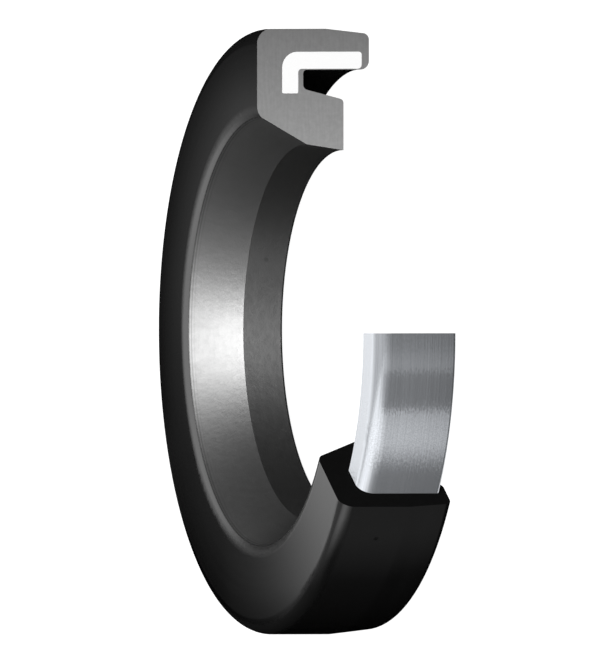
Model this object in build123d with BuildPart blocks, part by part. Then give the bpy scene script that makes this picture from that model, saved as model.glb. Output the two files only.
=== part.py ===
from build123d import *
import os
from math import radians, tan

# Cutaway of a rubber-covered rotary shaft seal with one lip and no garter spring, for a 25 mm shaft
# in a 40 mm housing bore. A pressed-steel case of L section lies inside the moulded rubber body.
# A window is cut through both, and a longer one through the rubber, so that the case ends bare.
# Units are millimetres. Z is the shaft's axis. The seal lies on its rear rim at Z = 0, front face up,
# and the origin is on the axis in the plane of that rim.

# What the seal fits
housing_bore = 40.0             # diameter of the bore that the seal is pressed into
press_allowance = 0.25          # how much larger the free rubber is across than that bore
shaft_diameter = 25.0
lip_preload = 0.9               # how much smaller the free lip is across than the shaft
seal_width = 7.9                # front face to rear rim

# Rubber over the case
cover_outside = 1.535           # between the housing and the case's wall
cover_front = 1.77              # in front of the case's flange
cover_rear = 0.52               # behind the case's free edge
skin_inside = 0.06              # on the inner face of the case's wall
skin_web = 0.35                 # on the rear face of the case's flange

# Outside of the rubber body
straight_length = 4.86          # front face to the start of the lead-in taper
lead_in_angle = 6.5             # degrees
front_corner_radius = 1.0
rear_outer_radius = 0.45
rear_inner_radius = 0.6

# Mouth and sealing lip
lip_length = 6.1                # front face to the lip's rear face
groove_width = 1.27             # between the lip's root and the rubber inside the case's wall
lip_back_angle = 14.1           # degrees, slope of the lip's back
land_length = 2.6               # from the ridge to the lip's edge
land_angle = 8.7                # degrees
mouth_angle = 29.3              # degrees, the cone from the front face to the ridge
mouth_rounding_depth = 0.3      # how deep the rounded edge of the front face reaches
mouth_rounding_radius = 1.0
groove_roof_radius = 0.25       # fillet between web and wall
groove_floor_radius = 0.38      # fillet between web and lip
lip_back_radius = 0.3

# Steel case
sheet_thickness = 1.13
flange_overlap = 0.3            # how far the flange reaches below the groove's floor, into the lip's root
bend_outer_radius = 1.05
bend_inner_radius = 0.25
flange_edge_radius = 0.1
wall_edge_outer_radius = 0.2
wall_edge_inner_radius = 0.28

# The cutaway, in degrees of the full ring
case_window = 90.0
rubber_window = 125.0

# Radii and depths worked out from the above; a depth is measured back from the front face
outer_radius = (housing_bore + press_allowance) / 2
rear_outer = outer_radius - (seal_width - straight_length) * tan(radians(lead_in_angle))
case_outer = outer_radius - cover_outside
case_inner = case_outer - sheet_thickness
flange_front = cover_front
flange_rear = flange_front + sheet_thickness
case_end = seal_width - cover_rear
groove_roof = case_inner - skin_inside
groove_front = flange_rear + skin_web
groove_floor = groove_roof - groove_width
flange_inner = groove_floor - flange_overlap
lip_back = groove_floor - (lip_length - groove_front) * tan(radians(lip_back_angle))
lip_edge = (shaft_diameter - lip_preload) / 2
ridge_depth = lip_length - land_length
ridge = lip_edge + land_length * tan(radians(land_angle))
cone_start = ridge + (ridge_depth - mouth_rounding_depth) * tan(radians(mouth_angle))
rounding_left = mouth_rounding_radius - mouth_rounding_depth
mouth_edge = cone_start + (mouth_rounding_radius**2 - rounding_left**2) ** 0.5


def at(radius, depth):
    """A point of the section: its radius, and its height on the seal lying front face up."""
    return (radius, seal_width - depth)


def round_corner(sketch, corner, radius):
    """Fillet the corner of the section that lies at the given point."""
    fillet(sketch.vertices().sort_by_distance(corner)[0], radius)


# The rubber's outline, closed over the case
mouth_corner = at(mouth_edge, 0)
front_corner = at(outer_radius, 0)
taper_start = at(outer_radius, straight_length)
rear_outer_corner = at(rear_outer, seal_width)
rear_inner_corner = at(groove_roof, seal_width)
roof_corner = at(groove_roof, groove_front)
floor_corner = at(groove_floor, groove_front)
back_corner = at(lip_back, lip_length)
lip_corner = at(lip_edge, lip_length)
ridge_corner = at(ridge, ridge_depth)
cone_corner = at(cone_start, mouth_rounding_depth)

with BuildSketch(Plane.YZ) as rubber_section:
    with BuildLine():
        Polyline(
            mouth_corner,
            front_corner,
            taper_start,
            rear_outer_corner,
            rear_inner_corner,
            roof_corner,
            floor_corner,
            back_corner,
            lip_corner,
            ridge_corner,
            cone_corner,
        )
        # Tangent to the front face, and meeting the cone at a crisp edge
        RadiusArc(cone_corner, mouth_corner, mouth_rounding_radius)
    make_face()
    round_corner(rubber_section, front_corner, front_corner_radius)
    round_corner(rubber_section, rear_outer_corner, rear_outer_radius)
    round_corner(rubber_section, rear_inner_corner, rear_inner_radius)
    round_corner(rubber_section, roof_corner, groove_roof_radius)
    round_corner(rubber_section, floor_corner, groove_floor_radius)
    round_corner(rubber_section, back_corner, lip_back_radius)

# The case's L: a flange across the front, and a wall that runs back to its free edge
bend_outer_corner = at(case_outer, flange_front)
wall_outer_end = at(case_outer, case_end)
wall_inner_end = at(case_inner, case_end)
bend_inner_corner = at(case_inner, flange_rear)
flange_rear_end = at(flange_inner, flange_rear)
flange_front_end = at(flange_inner, flange_front)

with BuildSketch(Plane.YZ) as case_section:
    with BuildLine():
        Polyline(
            bend_outer_corner,
            wall_outer_end,
            wall_inner_end,
            bend_inner_corner,
            flange_rear_end,
            flange_front_end,
            close=True,
        )
    make_face()
    round_corner(case_section, bend_outer_corner, bend_outer_radius)
    round_corner(case_section, bend_inner_corner, bend_inner_radius)
    round_corner(case_section, wall_outer_end, wall_edge_outer_radius)
    round_corner(case_section, wall_inner_end, wall_edge_inner_radius)
    round_corner(case_section, flange_rear_end, flange_edge_radius)
    round_corner(case_section, flange_front_end, flange_edge_radius)

# The case is pressed from sheet steel, and stops short of the rubber's window by the bare stretch
with BuildPart() as metal_case:
    add(case_section.sketch)
    revolve(axis=Axis.Z, revolution_arc=360 - case_window)

# The rubber is moulded round the case, so the case's section is its cavity
with BuildPart() as rubber_body:
    with BuildSketch(Plane.YZ) as bonded_section:
        add(rubber_section.sketch_local)
        add(case_section.sketch_local, mode=Mode.SUBTRACT)
    revolve(axis=Axis.Z, revolution_arc=360 - rubber_window)

metal_case.part.label = "metal_case"
rubber_body.part.label = "rubber_body"

os.makedirs("parts", exist_ok=True)
export_step(metal_case.part, "parts/metal_case.step")
export_step(rubber_body.part, "parts/rubber_body.step")
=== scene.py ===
import math

import bmesh
import bpy
from mathutils import Matrix, Vector


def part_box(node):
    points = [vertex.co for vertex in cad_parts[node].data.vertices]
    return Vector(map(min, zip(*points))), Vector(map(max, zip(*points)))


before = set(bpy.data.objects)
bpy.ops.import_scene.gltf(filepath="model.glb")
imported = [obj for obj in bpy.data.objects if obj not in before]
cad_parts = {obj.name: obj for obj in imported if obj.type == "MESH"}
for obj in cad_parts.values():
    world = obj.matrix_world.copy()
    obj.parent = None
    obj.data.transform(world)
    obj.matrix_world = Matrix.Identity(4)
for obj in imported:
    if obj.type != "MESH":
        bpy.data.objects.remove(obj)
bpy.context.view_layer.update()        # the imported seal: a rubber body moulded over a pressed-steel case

# The seal lies on its rear rim at Z = 0 with its front face up, and its axis is Z. The section face is
# on the plane X = 0 and looks along +X. From there the rubber runs counter-clockwise to its lower cut,
# where the steel comes out of it bare and ends on the plane Y = 0, facing along +Y. Both solids have
# the right shape, so they stay, and this script gives them their materials, light and camera. Angles
# round the axis are counter-clockwise from +X. Textures are laid out in millimetres.

MM = 0.001
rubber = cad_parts["rubber_body"]
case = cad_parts["metal_case"]

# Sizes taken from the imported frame, in millimetres
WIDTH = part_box("rubber_body")[1].z / MM
OUTER = -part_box("rubber_body")[0].x / MM

# Places on the seal that tell its surfaces apart, in millimetres and degrees. A depth is measured back
# from the front face. A length along the ring is measured at its outside, from the point opposite the
# middle of what is cut away, and it grows towards the lower cut.
CUT_FILM = 0.002                # how near a cut's plane a point of the cut is
CUT_SIDE = 1.0                  # how far from the axis a cut lies at least, on its own side of it
RUBBER_END = 325.0              # angle of the rubber's lower cut
MISSING_MIDDLE = 45.0           # angle of the middle of what is cut away
CONE_START = 14.24              # radius at which the mouth's cone starts, inside its rounded edge
MOUTH_EDGE = 14.95              # radius at which that rounded edge meets the front face
MOUTH_FADE = (MOUTH_EDGE - 0.22, MOUTH_EDGE + 0.13)     # radii between which its shine fades out
FRONT_EDGE = 19.1               # radius at which the front face ends and its rounded corner starts
CORNER_FADE = (FRONT_EDGE + 0.15, FRONT_EDGE + 0.5)     # radii between which painted shade darkens and dulls the corner
CORNER_DEPTH = (0.6, 1.0)       # depths between which the corner ends
CORNER_ALONG = (26.5, 34.0)     # lengths between which its painted shade ends
DULL_CONE_ALONG = (11.0, 19.0)  # lengths between which painted shade darkens and dulls the cone
LIP_EDGE = 12.05                # radius of the lip's edge
LIP_REAR = 6.0                  # depth at which the lip's flanks end
LAND_START = 3.5                # depth of the ridge between the cone and the land
BEND_START = (17.5, 17.8)       # radii between which the case's flange goes over into its bend

# Small marks on the rubber
MOULD_LINES = ((0.31, 0.4), (0.45, 0.25), (0.62, 0.08))     # depth and strength
MOULD_LINE_HALF = 0.04          # half of such a line's width
SPECKS = (((14.76, -13.68, 4.83), 0.8), ((-11.32, 4.72, 3.19), 0.22))   # middle and strength
SPECK_EDGE = (0.08, 0.23)       # distances from its middle between which a speck ends

# Ranges that spread maps from or onto
UNIT = (0.0, 1.0)
FADING = (1.0, 0.0)
MIDDLING = (0.3, 0.7)           # where most values of a noise lie


def colour(hex_code):
    """Linear colour of an sRGB hex code such as #c0c0c0."""
    channels = (int(hex_code[i:i + 2], 16) / 255 for i in (1, 3, 5))
    return (*(c / 12.92 if c <= 0.04045 else ((c + 0.055) / 1.055) ** 2.4 for c in channels), 1.0)


def add(tree, kind, inputs=(), **settings):
    """Add a shader node, with its settings, and with values or links in its inputs."""
    made = tree.nodes.new("ShaderNode" + kind)
    for name, value in settings.items():
        setattr(made, name, value)
    for socket, value in dict(inputs).items():
        if isinstance(value, bpy.types.NodeSocket):
            tree.links.new(value, made.inputs[socket])
        else:
            made.inputs[socket].default_value = value
    return made


def calc(tree, operation, *values):
    """The result of a calculation on numbers or on other nodes' outputs."""
    return add(tree, "Math", enumerate(values), operation=operation).outputs[0]


def times(tree, first, second):
    """The product of two numbers, which for two masks is 1 where both are."""
    return calc(tree, "MULTIPLY", first, second)


def plus(tree, first, second):
    """The sum of two numbers."""
    return calc(tree, "ADD", first, second)


def above(tree, value, limit):
    """1 where a value is above a limit, else 0."""
    return calc(tree, "GREATER_THAN", value, limit)


def below(tree, value, limit):
    """1 where a value is below a limit, else 0."""
    return calc(tree, "LESS_THAN", value, limit)


def spread(tree, value, ends, onto=UNIT, curve="LINEAR"):
    """Map a value between two ends onto a range, and hold it past the ends."""
    low, high = onto
    inputs = {"Value": value, "From Min": ends[0], "From Max": ends[1], "To Min": low, "To Max": high}
    return add(tree, "MapRange", inputs, interpolation_type=curve).outputs["Result"]


def vector(tree, x=0.0, y=0.0, z=0.0):
    """A vector of three numbers or outputs."""
    return add(tree, "CombineXYZ", {"X": x, "Y": y, "Z": z}).outputs[0]


def parts(tree, whole):
    """The three parts of a vector."""
    return add(tree, "SeparateXYZ", {0: whole}).outputs


def scaled(tree, coordinates, factor):
    """A vector times a number."""
    inputs = {0: coordinates, "Scale": factor}
    return add(tree, "VectorMath", inputs, operation="SCALE").outputs[0]


def vector_calc(tree, operation, *vectors):
    """The vector that a calculation on vectors gives."""
    return add(tree, "VectorMath", enumerate(vectors), operation=operation).outputs["Vector"]


def vector_measure(tree, operation, *vectors):
    """The number that a calculation on vectors gives."""
    return add(tree, "VectorMath", enumerate(vectors), operation=operation).outputs["Value"]


def noise(tree, coordinates, detail=2.0, roughness=0.5):
    """Noise from 0 to 1, of one blob to each unit of the coordinates."""
    inputs = {"Vector": coordinates, "Scale": 1.0, "Detail": detail, "Roughness": roughness}
    return add(tree, "TexNoise", inputs).outputs["Fac"]


def per_mm(tree, first, second, third=0.0):
    """Coordinates for noise, from two pairs of a length and its blobs to a millimetre, and a number."""
    return vector(tree, times(tree, *first), times(tree, *second), third)


class Place:
    """Where a point is on the seal, in millimetres: across, its parts, radius, depth and along the ring."""

    def __init__(self, tree):
        metres = add(tree, "TexCoord").outputs["Object"]
        self.across = scaled(tree, metres, 1 / MM)
        self.x, self.y, self.z = parts(tree, self.across)
        self.radius = vector_measure(tree, "LENGTH", vector(tree, self.x, self.y))
        self.depth = calc(tree, "SUBTRACT", WIDTH, self.z)
        # The angle jumps from one end of its range to the other inside what is cut away
        inputs = {"Vector": self.across, "Angle": math.radians(180 - MISSING_MIDDLE)}
        turned = add(tree, "VectorRotate", inputs, rotation_type="Z_AXIS").outputs[0]
        ahead, aside, _ = parts(tree, turned)
        self.along = times(tree, calc(tree, "ARCTAN2", aside, ahead), OUTER)


def on_section(tree, place):
    """1 on the section face, at X = 0."""
    return times(tree, above(tree, place.x, -CUT_FILM), above(tree, place.y, CUT_SIDE))


def on_lower_cut(tree, place):
    """1 on the rubber's lower cut, where the bare steel comes out."""
    turn = math.radians(RUBBER_END)
    past = vector_measure(tree, "DOT_PRODUCT", place.across, (-math.sin(turn), math.cos(turn), 0))
    return times(tree, above(tree, past, -CUT_FILM), above(tree, place.x, CUT_SIDE))


def on_lip_flanks(tree, place):
    """1 on the mouth's rounded edge, on its cone and on the land behind it."""
    return times(tree, spread(tree, place.radius, MOUTH_FADE, FADING), below(tree, place.depth, LIP_REAR))


def on_front_corner(tree, place):
    """Mostly on the rounded corner between the front face and the outside, less towards the lower cut; it
    marks painted shade.
    """
    outwards = spread(tree, place.radius, CORNER_FADE)
    corner = times(tree, outwards, spread(tree, place.depth, CORNER_DEPTH, FADING))
    return times(tree, corner, spread(tree, place.along, CORNER_ALONG, (0.95, 0.0)))


def on_lower_cone(tree, place):
    """Partly on the end of the cone towards the lower cut; it marks painted shade there."""
    cone = times(tree, below(tree, place.radius, CONE_START), below(tree, place.depth, LAND_START))
    return times(tree, cone, spread(tree, place.along, DULL_CONE_ALONG, (0.0, 0.7)))


def on_specks(tree, place):
    """Partly on two small specks, one on the outside and one on the land."""
    spots = 0.0
    for middle, strength in SPECKS:
        away = vector_measure(tree, "DISTANCE", place.across, middle)
        spots = plus(tree, spots, spread(tree, away, SPECK_EDGE, (strength, 0.0)))
    return spots


def on_mould_lines(tree, place):
    """Partly on thin lines round the start of the cone, the first where the mould's core pin parts."""
    lines = 0.0
    for depth, strength in MOULD_LINES:
        line = calc(tree, "COMPARE", place.depth, depth, MOULD_LINE_HALF)
        lines = plus(tree, lines, times(tree, line, strength))
    return times(tree, lines, below(tree, place.radius, MOUTH_EDGE))


def principled(tree, base, **inputs):
    """A Principled shader whose inputs are given by name, with underscores for spaces."""
    named = {name.replace("_", " ").title().replace("Ior", "IOR"): value for name, value in inputs.items()}
    return add(tree, "BsdfPrincipled", {"Base Color": base, **named}).outputs[0]


def tinted(tree, hex_code, brightness):
    """A colour times a brightness that varies over the surface."""
    return scaled(tree, vector(tree, *colour(hex_code)[:3]), brightness)


def rough_normal(tree, height, strength):
    """Normals of a surface that a noise, 0.02 mm high, makes uneven."""
    return add(tree, "Bump", {"Height": height, "Strength": strength, "Distance": 0.02 * MM}).outputs[0]


def moulded_skin(tree, place):
    """Satin black skin of the mould: a fine grain, faint turned lines, and painted light and shade, lighter
    towards the mouth and darker on the outside and the front corner.
    """
    grain = noise(tree, scaled(tree, place.across, 5.0), detail=3.0)
    lines = noise(tree, per_mm(tree, (place.along, 0.05), (place.radius, 6.0)))
    corner = spread(tree, place.depth, CORNER_DEPTH, FADING)
    corner = times(tree, corner, above(tree, place.radius, FRONT_EDGE))
    # Painted light and shade: lighter towards the mouth, darker towards the outside, and darker still on
    # the front corner
    painted_shading = spread(tree, place.radius, (15.2, 18.8), (1.35, 0.5))
    painted_shading = times(tree, painted_shading, spread(tree, corner, UNIT, (1.0, 0.2)))
    tone = times(tree, painted_shading, spread(tree, lines, MIDDLING, (0.9, 1.1)))
    return principled(
        tree, tinted(tree, "#202020", tone), roughness=spread(tree, lines, MIDDLING, (0.2, 0.22)),
        normal=rough_normal(tree, grain, 0.12),
    )


def burnished_flank(tree, place):
    """Flanks of the lip, left by a turned and polished core pin: shinier, brightest towards the ridge."""
    lines = noise(tree, per_mm(tree, (place.along, 0.04), (place.z, 7.0)))
    rubs = noise(tree, scaled(tree, place.across, 2.2), detail=4.0, roughness=0.65)
    lined = spread(tree, lines, MIDDLING, (-0.016, 0.016))
    fine = plus(tree, lined, spread(tree, rubs, (0.35, 0.65), (0.965, 1.035)))
    cone = spread(tree, place.depth, (0.3, 3.0), (0.485, 0.44))
    land = times(tree, above(tree, place.depth, LAND_START), 0.015)
    rounding = times(tree, above(tree, place.radius, CONE_START), 0.235)
    matt = calc(tree, "SUBTRACT", calc(tree, "SUBTRACT", cone, land), rounding)
    return principled(
        tree, tinted(tree, "#161616", fine), roughness=calc(tree, "DIVIDE", matt, fine), ior=2.2,
        specular_ior_level=1.0, normal=rough_normal(tree, rubs, 0.6),
    )


def dull_rubber_and_painted_shade(tree, place):
    """Dull black: the mould's lines and two specks, and painted shade on the front corner and on the cone's
    end by the lower cut.
    """
    return principled(tree, colour("#0a0a0a"), roughness=0.8, specular_ior_level=0.1)


def ground_section(tree, place):
    """Section face ground flat: dull grey with the wheel's strokes, and painted light that makes it lighter
    towards the lip.
    """
    # Painted light: lighter towards the lip, darker towards the outside
    tone = spread(tree, place.radius, (LIP_EDGE, OUTER), (1.35, 0.76))
    strokes = noise(tree, per_mm(tree, (place.y, 0.6), (place.z, 6.0)), detail=3.0)
    blotches = noise(tree, scaled(tree, place.across, 2.5), detail=4.0, roughness=0.7)
    speckle = spread(tree, strokes, MIDDLING, (0.955, 1.045))
    speckle = times(tree, speckle, spread(tree, blotches, MIDDLING, (0.93, 1.07)))
    return principled(
        tree, tinted(tree, "#858585", times(tree, tone, speckle)), roughness=0.9, specular_ior_level=0.1,
    )


def knife_cut(tree, place):
    """Lower cut, sliced with a blade: clean dull black."""
    grain = noise(tree, scaled(tree, place.across, 3.0))
    tone = spread(tree, grain, MIDDLING, (0.9, 1.1))
    return principled(tree, tinted(tree, "#0d0d0d", tone), roughness=0.75, specular_ior_level=0.1)


def steel_tone(tree, place, streaks):
    """How bright the steel is: streaked, speckled in one band, and darker towards the wall's free edge by
    painted shade.
    """
    speckle = noise(tree, scaled(tree, place.across, 11.0), detail=1.0)
    band = spread(tree, place.along, (36.2, 37.2), (0.2, 1.0))
    band = times(tree, band, spread(tree, place.along, (40.6, 41.2), (1.0, 0.2)))
    speckle = times(tree, spread(tree, speckle, MIDDLING, (-0.09, 0.09)), band)
    fine = plus(tree, spread(tree, streaks, MIDDLING, (-0.09, 0.08)), speckle)
    # The flat flange is less marked than the bend and the wall
    fine = plus(tree, times(tree, fine, spread(tree, place.radius, BEND_START, (0.3, 1.0))), 0.94)
    # Painted shade: darker towards the wall's free edge
    return times(tree, spread(tree, place.depth, (4.0, 7.1), (1.0, 0.86)), fine)


def wavering_normal(tree, place, section, around):
    """Normals that waver along the drawing, which frays the edges of what the steel mirrors."""
    wander = noise(tree, per_mm(tree, (place.along, 4.0), (section, 9.0), 3.0))
    tilt = scaled(tree, around, spread(tree, wander, (0.25, 0.75), (-0.022, 0.022)))
    normal = add(tree, "NewGeometry").outputs["Normal"]
    return vector_calc(tree, "NORMALIZE", vector_calc(tree, "ADD", normal, tilt))


def drawn_steel(tree, place):
    """Cold-drawn strip, polished round the ring: streaked along the drawing, clear across it."""
    section = calc(tree, "SUBTRACT", place.radius, place.z)
    streaks = noise(tree, per_mm(tree, (place.along, 0.08), (section, 13.0)))
    around = vector_calc(tree, "NORMALIZE", vector_calc(tree, "CROSS_PRODUCT", (0, 0, 1), place.across))
    return principled(
        tree, tinted(tree, "#eff3f9", steel_tone(tree, place, streaks)), metallic=0.88,
        roughness=spread(tree, streaks, MIDDLING, (0.18, 0.2)), anisotropic=0.93,
        anisotropic_rotation=0.25, tangent=around, normal=wavering_normal(tree, place, section, around),
    )


def white_paint(tree, place):
    """Matt white paint on the steel's section face."""
    grain = noise(tree, scaled(tree, place.across, 4.0))
    tone = spread(tree, grain, MIDDLING, (0.99, 1.0))
    return principled(tree, tinted(tree, "#fefefe", tone), roughness=0.9, specular_ior_level=0.1)


def material(name, first, *zones):
    """A material of one surface, and others laid over it where their masks are 1."""
    made = bpy.data.materials.new(name)
    made.use_nodes = True
    tree = made.node_tree
    tree.nodes.clear()
    place = Place(tree)
    shader = first(tree, place)
    for mask, surface in zones:
        inputs = {0: mask(tree, place), 1: shader, 2: surface(tree, place)}
        shader = add(tree, "MixShader", inputs).outputs[0]
    add(tree, "OutputMaterial", {"Surface": shader})
    return made


rubber.material_slots[0].material = material(
    "moulded_nitrile_rubber",
    moulded_skin,
    # Painted shade: dull black on the front corner and on the cone's end by the lower cut
    (on_front_corner, dull_rubber_and_painted_shade),
    (on_lip_flanks, burnished_flank),
    (on_lower_cone, dull_rubber_and_painted_shade),
    (on_mould_lines, dull_rubber_and_painted_shade),
    (on_specks, dull_rubber_and_painted_shade),
    (on_section, ground_section),
    (on_lower_cut, knife_cut),
)
case.material_slots[0].material = material("drawn_steel", drawn_steel, (on_section, white_paint))


# Stage. Each gloss sees its own surroundings: the rubber a globe and three cards, the steel another
# globe, whose low part behind the seal is hidden by the back card. The camera sees none of them.

FLOOR_HALF = 0.6                # metres from the middle of the floor to its sides
AMBIENT = 0.2                   # strength of the world's soft light
LAMP_DISTANCE = 0.5             # metres from the seal
VIEW_ELEVATION = 19.81          # degrees above the floor that the camera looks from, over +X
BACK_CARD = -24.0               # x of the card that the front face mirrors, in millimetres
BACK_CARD_FOOT = ((-60, 0), (60, 0))                # y and z of its corners, the foot first
BACK_CARD_TOP = (
    (60, 19), (17, 19), (3, 14.5), (-1, 15.2), (-9, 16.6), (-9.8, 20), (-15, 20.8), (-60, 21),
)
NEAR_CARD = -8.0                # x of a clear card before it, that the near side mirrors as well
NEAR_CARD_CORNERS = ((-30, 7.9), (-5, 7.9), (-5, 27), (-30, 27))
SIDE_CARD = -24.0               # y of a clear card beside the lower cut
SIDE_CARD_CORNERS = ((5, -8), (5, 26), (30, 26), (30, -8))      # x and z


def floor_material():
    """Pale paper: pure white to the camera, and grey in the light that it throws back at the seal."""
    made = bpy.data.materials.new("pale_paper")
    made.use_nodes = True
    tree = made.node_tree
    tree.nodes.clear()
    paper = add(tree, "BsdfDiffuse", {"Color": colour("#959595")}).outputs[0]
    seen = add(tree, "LightPath").outputs["Is Camera Ray"]
    glow = add(tree, "Emission", {"Color": colour("#ffffff"), "Strength": seen}).outputs[0]
    both = add(tree, "AddShader", {0: paper, 1: glow}).outputs[0]
    add(tree, "OutputMaterial", {"Surface": both})
    return made


def staged(name, work, surface):
    """A piece of the stage, from a mesh being worked on and a material."""
    mesh = bpy.data.meshes.new(name)
    work.to_mesh(mesh)
    work.free()
    made = bpy.data.objects.new(name, mesh)
    bpy.context.scene.collection.objects.link(made)
    made.data.materials.append(surface)
    return made


def build_floor():
    """A square floor under the seal, that the seal's gloss doesn't see."""
    work = bmesh.new()
    bmesh.ops.create_grid(work, x_segments=1, y_segments=1, size=FLOOR_HALF)
    staged("floor", work, floor_material()).visible_glossy = False


def shown_only_in(made, thing):
    """Let a card, globe or lamp shine on one object alone."""
    shown = bpy.data.collections.new(made.name)
    shown.objects.link(thing)
    made.light_linking.receiver_collection = shown


def mirrored_only_in(made, thing):
    """Let one object's gloss alone see the piece, which casts no shadow either."""
    made.visible_camera = False
    made.visible_diffuse = False
    made.visible_shadow = False
    shown_only_in(made, thing)


def glowing(name, glow, clear):
    """
    A surface that only glows, by a function of the point on it. A clear one glows on its front alone, and
    shows what is behind it too.
    """
    surface = bpy.data.materials.new(name)
    surface.use_nodes = True
    surface.cycles.emission_sampling = "NONE"
    tree = surface.node_tree
    tree.nodes.clear()
    strength = glow(tree, add(tree, "TexCoord").outputs["Object"])
    shader = add(tree, "Emission", {"Strength": strength}).outputs[0]
    if clear:
        see_through = add(tree, "BsdfTransparent").outputs[0]
        lit = add(tree, "AddShader", {0: shader, 1: see_through}).outputs[0]
        behind = add(tree, "NewGeometry").outputs["Backfacing"]
        shader = add(tree, "MixShader", {0: behind, 1: lit, 2: see_through}).outputs[0]
    add(tree, "OutputMaterial", {"Surface": shader})
    return surface


def card(name, corners, glow, clear=True):
    """A flat card for the rubber, its corners in millimetres and counter-clockwise seen from its front."""
    work = bmesh.new()
    work.faces.new([work.verts.new(Vector(corner) * MM) for corner in corners])
    mirrored_only_in(staged(name, work, glowing(name, glow, clear)), rubber)


def globe(name, radius, glow, mirrored_in):
    """A clear globe round the stage, of a radius in metres."""
    work = bmesh.new()
    bmesh.ops.create_icosphere(work, subdivisions=4, radius=radius)
    bmesh.ops.reverse_faces(work, faces=work.faces)
    mirrored_only_in(staged(name, work, glowing(name, glow, clear=True)), mirrored_in)


def mirror_place(tree, metres, card_x):
    """
    Where on the front face the camera sees a card's point mirrored: millimetres from the seal's axis, and
    degrees from the far side of the ring, more towards the section. The point's y and z come with them.
    """
    _, y, z = parts(tree, scaled(tree, metres, 1 / MM))
    rise = math.tan(math.radians(VIEW_ELEVATION))
    x = plus(tree, calc(tree, "DIVIDE", calc(tree, "SUBTRACT", z, WIDTH), rise), card_x)
    radius = vector_measure(tree, "LENGTH", vector(tree, x, y))
    angle = calc(tree, "ARCTAN2", y, times(tree, x, -1.0))
    return radius, times(tree, angle, math.degrees(1)), y, z


def back_glow(tree, metres):
    """Brighter for the face's side by the section and towards its mouth, with a faint patch low down."""
    radius, angle, y, z = mirror_place(tree, metres, BACK_CARD)
    rise = times(tree, spread(tree, angle, (20, 60), (0.085, 0.12)), spread(tree, angle, (-35, 15)))
    rise = plus(tree, rise, spread(tree, angle, (62, 82), (0.0, 0.09)))
    inwards = calc(tree, "POWER", spread(tree, radius, (15.0, FRONT_EDGE), (1.09, 0.44)), 2.0)
    patch = times(tree, spread(tree, z, (9, 11.5), (0.05, 0.0)), spread(tree, y, (-15, -12)))
    patch = times(tree, patch, spread(tree, y, (-8, -5), FADING))
    return plus(tree, times(tree, rise, inwards), patch)


def near_glow(tree, metres):
    """Brighter for the side of the front face by the lower cut, and a little brighter higher up."""
    _, angle, y, z = mirror_place(tree, metres, NEAR_CARD)
    turn = calc(tree, "ABSOLUTE", angle)
    bright = calc(tree, "POWER", spread(tree, turn, (80, 142)), 2.5)
    bright = plus(tree, bright, spread(tree, z, (WIDTH + 0.4, WIDTH + 2.9), (0.0, 0.05)))
    return times(tree, bright, spread(tree, y, (-20.5, -17), (0.1, 1.0)))


def side_glow(tree, metres):
    """Beside the rubber's lower cut: a bright patch above its front corner, over a fainter light."""
    x, _, z = parts(tree, scaled(tree, metres, 1 / MM))
    slope = plus(tree, x, times(tree, z, 0.9))
    patch = times(tree, spread(tree, slope, (22, 32), (0.0, 2.0)), spread(tree, z, (9, 16), (0.3, 1.0)))
    patch = times(tree, patch, times(tree, spread(tree, z, (18, 26), (1.0, 0.4)), spread(tree, z, (6, 8))))
    return plus(tree, patch, spread(tree, x, (9, 16), (0.0, 0.17)))


def glow_on_rubber(tree, metres):
    """Bright above and darker towards the back."""
    direction = vector_calc(tree, "NORMALIZE", metres)
    x, y, _ = parts(tree, direction)
    lean = vector_measure(tree, "DOT_PRODUCT", direction, (-0.5, 0, 0.87))
    ahead = plus(tree, x, times(tree, calc(tree, "ABSOLUTE", y), 0.25))
    return times(tree, spread(tree, lean, (0.38, 0.85), (0.0, 0.55)), spread(tree, ahead, (-0.95, -0.5)))


def strips_in_front(tree, x, y, z):
    """Two upright strips by their azimuth, brighter higher up and gone low down."""
    azimuth = times(tree, calc(tree, "ARCTAN2", y, x), math.degrees(1))
    faint = times(tree, spread(tree, azimuth, (-3, -14), (0.0, 0.13)), above(tree, azimuth, -16))
    strong = times(tree, spread(tree, azimuth, (-32, -43), (0.27, 0.38)), below(tree, azimuth, -32))
    strong = times(tree, strong, spread(tree, azimuth, (-60, -46), curve="SMOOTHSTEP"))
    strips = plus(tree, plus(tree, faint, strong), 0.085)
    level = (-0.34, 0.25)
    front = times(tree, strips, spread(tree, z, level, (1.0, 1.7)))
    front = plus(tree, front, spread(tree, z, level, (0.0, 0.07)))
    return times(tree, front, spread(tree, z, (-0.75, -0.5)))


def near_slant(tree, slant, middle):
    """How far a slant is from one in the middle of a slanting line."""
    return calc(tree, "ABSOLUTE", calc(tree, "SUBTRACT", slant, middle))


def ceiling_and_wall(tree, x, y, z):
    """A ceiling that is brighter on the right, a wall behind, a slanting bright streak and a dark rib."""
    side = spread(tree, y, (-0.2, -0.55), (0.42, 1.1), "SMOOTHSTEP")
    wall = spread(tree, x, (-0.2, -0.9), (0.0, 0.68), "SMOOTHSTEP")
    slant = calc(tree, "DIVIDE", y, z)
    streak = spread(tree, near_slant(tree, slant, -0.37), (0.0, 0.12), (0.5, 0.0))
    streak = times(tree, streak, spread(tree, x, (-0.5, -0.3)))
    rib = spread(tree, near_slant(tree, slant, -0.27), (0.02, 0.08), (0.42, 0.0))
    rib = times(tree, rib, spread(tree, x, (-0.45, -0.3), FADING))
    bright = plus(tree, plus(tree, side, wall), streak)
    return calc(tree, "SUBTRACT", bright, times(tree, rib, above(tree, x, -0.75)))


def glow_on_steel(tree, metres):
    """A bright strip and a faint one in front, a bright ceiling on the right and a bright wall behind."""
    x, y, z = parts(tree, vector_calc(tree, "NORMALIZE", metres))
    front = strips_in_front(tree, x, y, z)
    rest = ceiling_and_wall(tree, x, y, z)
    rise = calc(tree, "MAXIMUM", spread(tree, z, (0.3, 0.75)), spread(tree, x, (-0.2, 0.1), FADING))
    return add(tree, "Mix", {"Factor": rise, "A": front, "B": rest}, data_type="FLOAT").outputs["Result"]


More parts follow.
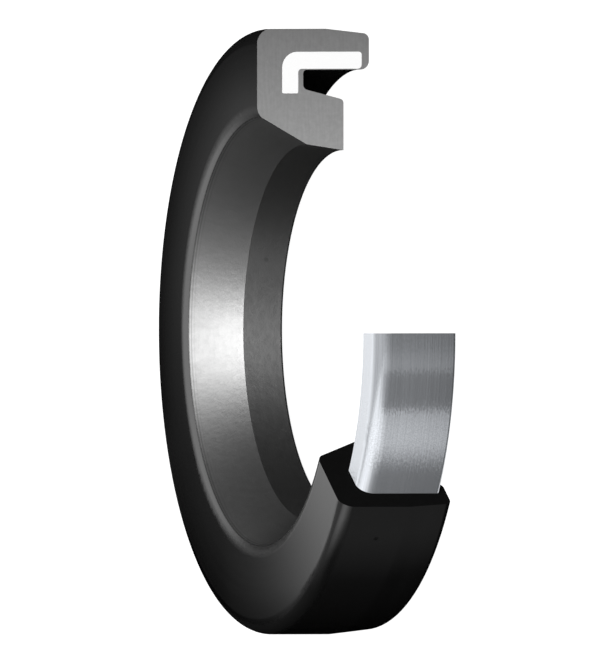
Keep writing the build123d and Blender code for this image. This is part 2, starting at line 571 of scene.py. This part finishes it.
def build_surroundings():
    """What the rubber and the steel mirror."""
    foot_and_top = BACK_CARD_FOOT + BACK_CARD_TOP
    card("back_card", [(BACK_CARD, y, z) for y, z in foot_and_top], back_glow, clear=False)
    card("near_card", [(NEAR_CARD, y, z) for y, z in NEAR_CARD_CORNERS], near_glow)
    card("side_card", [(x, SIDE_CARD, z) for x, z in SIDE_CARD_CORNERS], side_glow)
    globe("rubber_surroundings", 1.0, glow_on_rubber, rubber)
    globe("steel_surroundings", 1.1, glow_on_steel, case)
    # Neither mirrors the other
    rubber.visible_glossy = False
    case.visible_glossy = False


def build_world():
    """White to the camera, a soft even light to dull surfaces, and nothing to gloss."""
    world = bpy.data.worlds.new("studio")
    world.use_nodes = True
    bpy.context.scene.world = world
    tree = world.node_tree
    tree.nodes.clear()
    light = add(tree, "LightPath").outputs
    soft = times(tree, light["Is Diffuse Ray"], AMBIENT)
    strength = calc(tree, "MAXIMUM", soft, light["Is Camera Ray"])
    glow = add(tree, "Background", {"Color": colour("#ffffff"), "Strength": strength})
    add(tree, "OutputWorld", {"Surface": glow.outputs[0]})


def lamp(name, azimuth, elevation, size, power, shines_on=None):
    """
    A square area lamp that looks at the seal, of a size in metres and a power in watts. It lights dull
    surfaces only, or, where an object is named, shines in that object's gloss only.
    """
    light = bpy.data.lights.new(name, "AREA")
    light.size = size
    light.energy = power
    light.cycles.use_multiple_importance_sampling = shines_on is not None
    made = bpy.data.objects.new(name, light)
    turn = math.radians(azimuth)
    rise = math.radians(elevation)
    toward = Vector((math.cos(rise) * math.cos(turn), math.cos(rise) * math.sin(turn), math.sin(rise)))
    place = toward * LAMP_DISTANCE + Vector((0, 0, WIDTH * MM / 2))
    made.matrix_world = Matrix.Translation(place) @ toward.to_track_quat("Z", "Y").to_matrix().to_4x4()
    made.visible_camera = False
    made.visible_glossy = shines_on is not None
    made.visible_diffuse = shines_on is None
    if shines_on:
        shown_only_in(made, shines_on)
    bpy.context.scene.collection.objects.link(made)


build_floor()
build_world()
build_surroundings()
lamp("key", azimuth=5, elevation=38, size=0.3, power=2.7)
lamp("rubber_shine", azimuth=8, elevation=37, size=0.36, power=2.8, shines_on=rubber)


# Camera, over +X and above the front face, and rolled so that +Y is up in the picture

VIEW_TILT = 0.387               # degrees that the camera's view sinks towards -Y
PICTURE_HEIGHT = 43.99          # mm that the picture's long side spans; it has no perspective
CAMERA_DISTANCE = 500.0         # mm
AIM_RIGHT = 2.549               # mm from the front face's middle to the picture's middle
AIM_UP = 0.045


def build_camera():
    """A camera without perspective that looks down on the seal from +X."""
    rise = math.radians(VIEW_ELEVATION)
    tilt = math.radians(VIEW_TILT)
    ahead = Vector((-math.cos(rise), 0, -math.sin(rise))) * math.cos(tilt) - Vector((0, math.sin(tilt), 0))
    right = Vector((math.sin(rise), 0, -math.cos(rise)))
    up = right.cross(ahead)
    data = bpy.data.cameras.new("camera")
    data.type = "ORTHO"
    data.ortho_scale = PICTURE_HEIGHT * MM
    data.clip_start = 0.01
    data.clip_end = 3.0
    aim = Vector((0, 0, WIDTH)) + right * AIM_RIGHT + up * AIM_UP
    camera = bpy.data.objects.new("camera", data)
    axes = Matrix((right, up, -ahead)).transposed().to_4x4()
    camera.matrix_world = Matrix.Translation((aim - ahead * CAMERA_DISTANCE) * MM) @ axes
    bpy.context.scene.collection.objects.link(camera)
    bpy.context.scene.camera = camera


build_camera()
bpy.context.scene.view_settings.view_transform = "Standard"
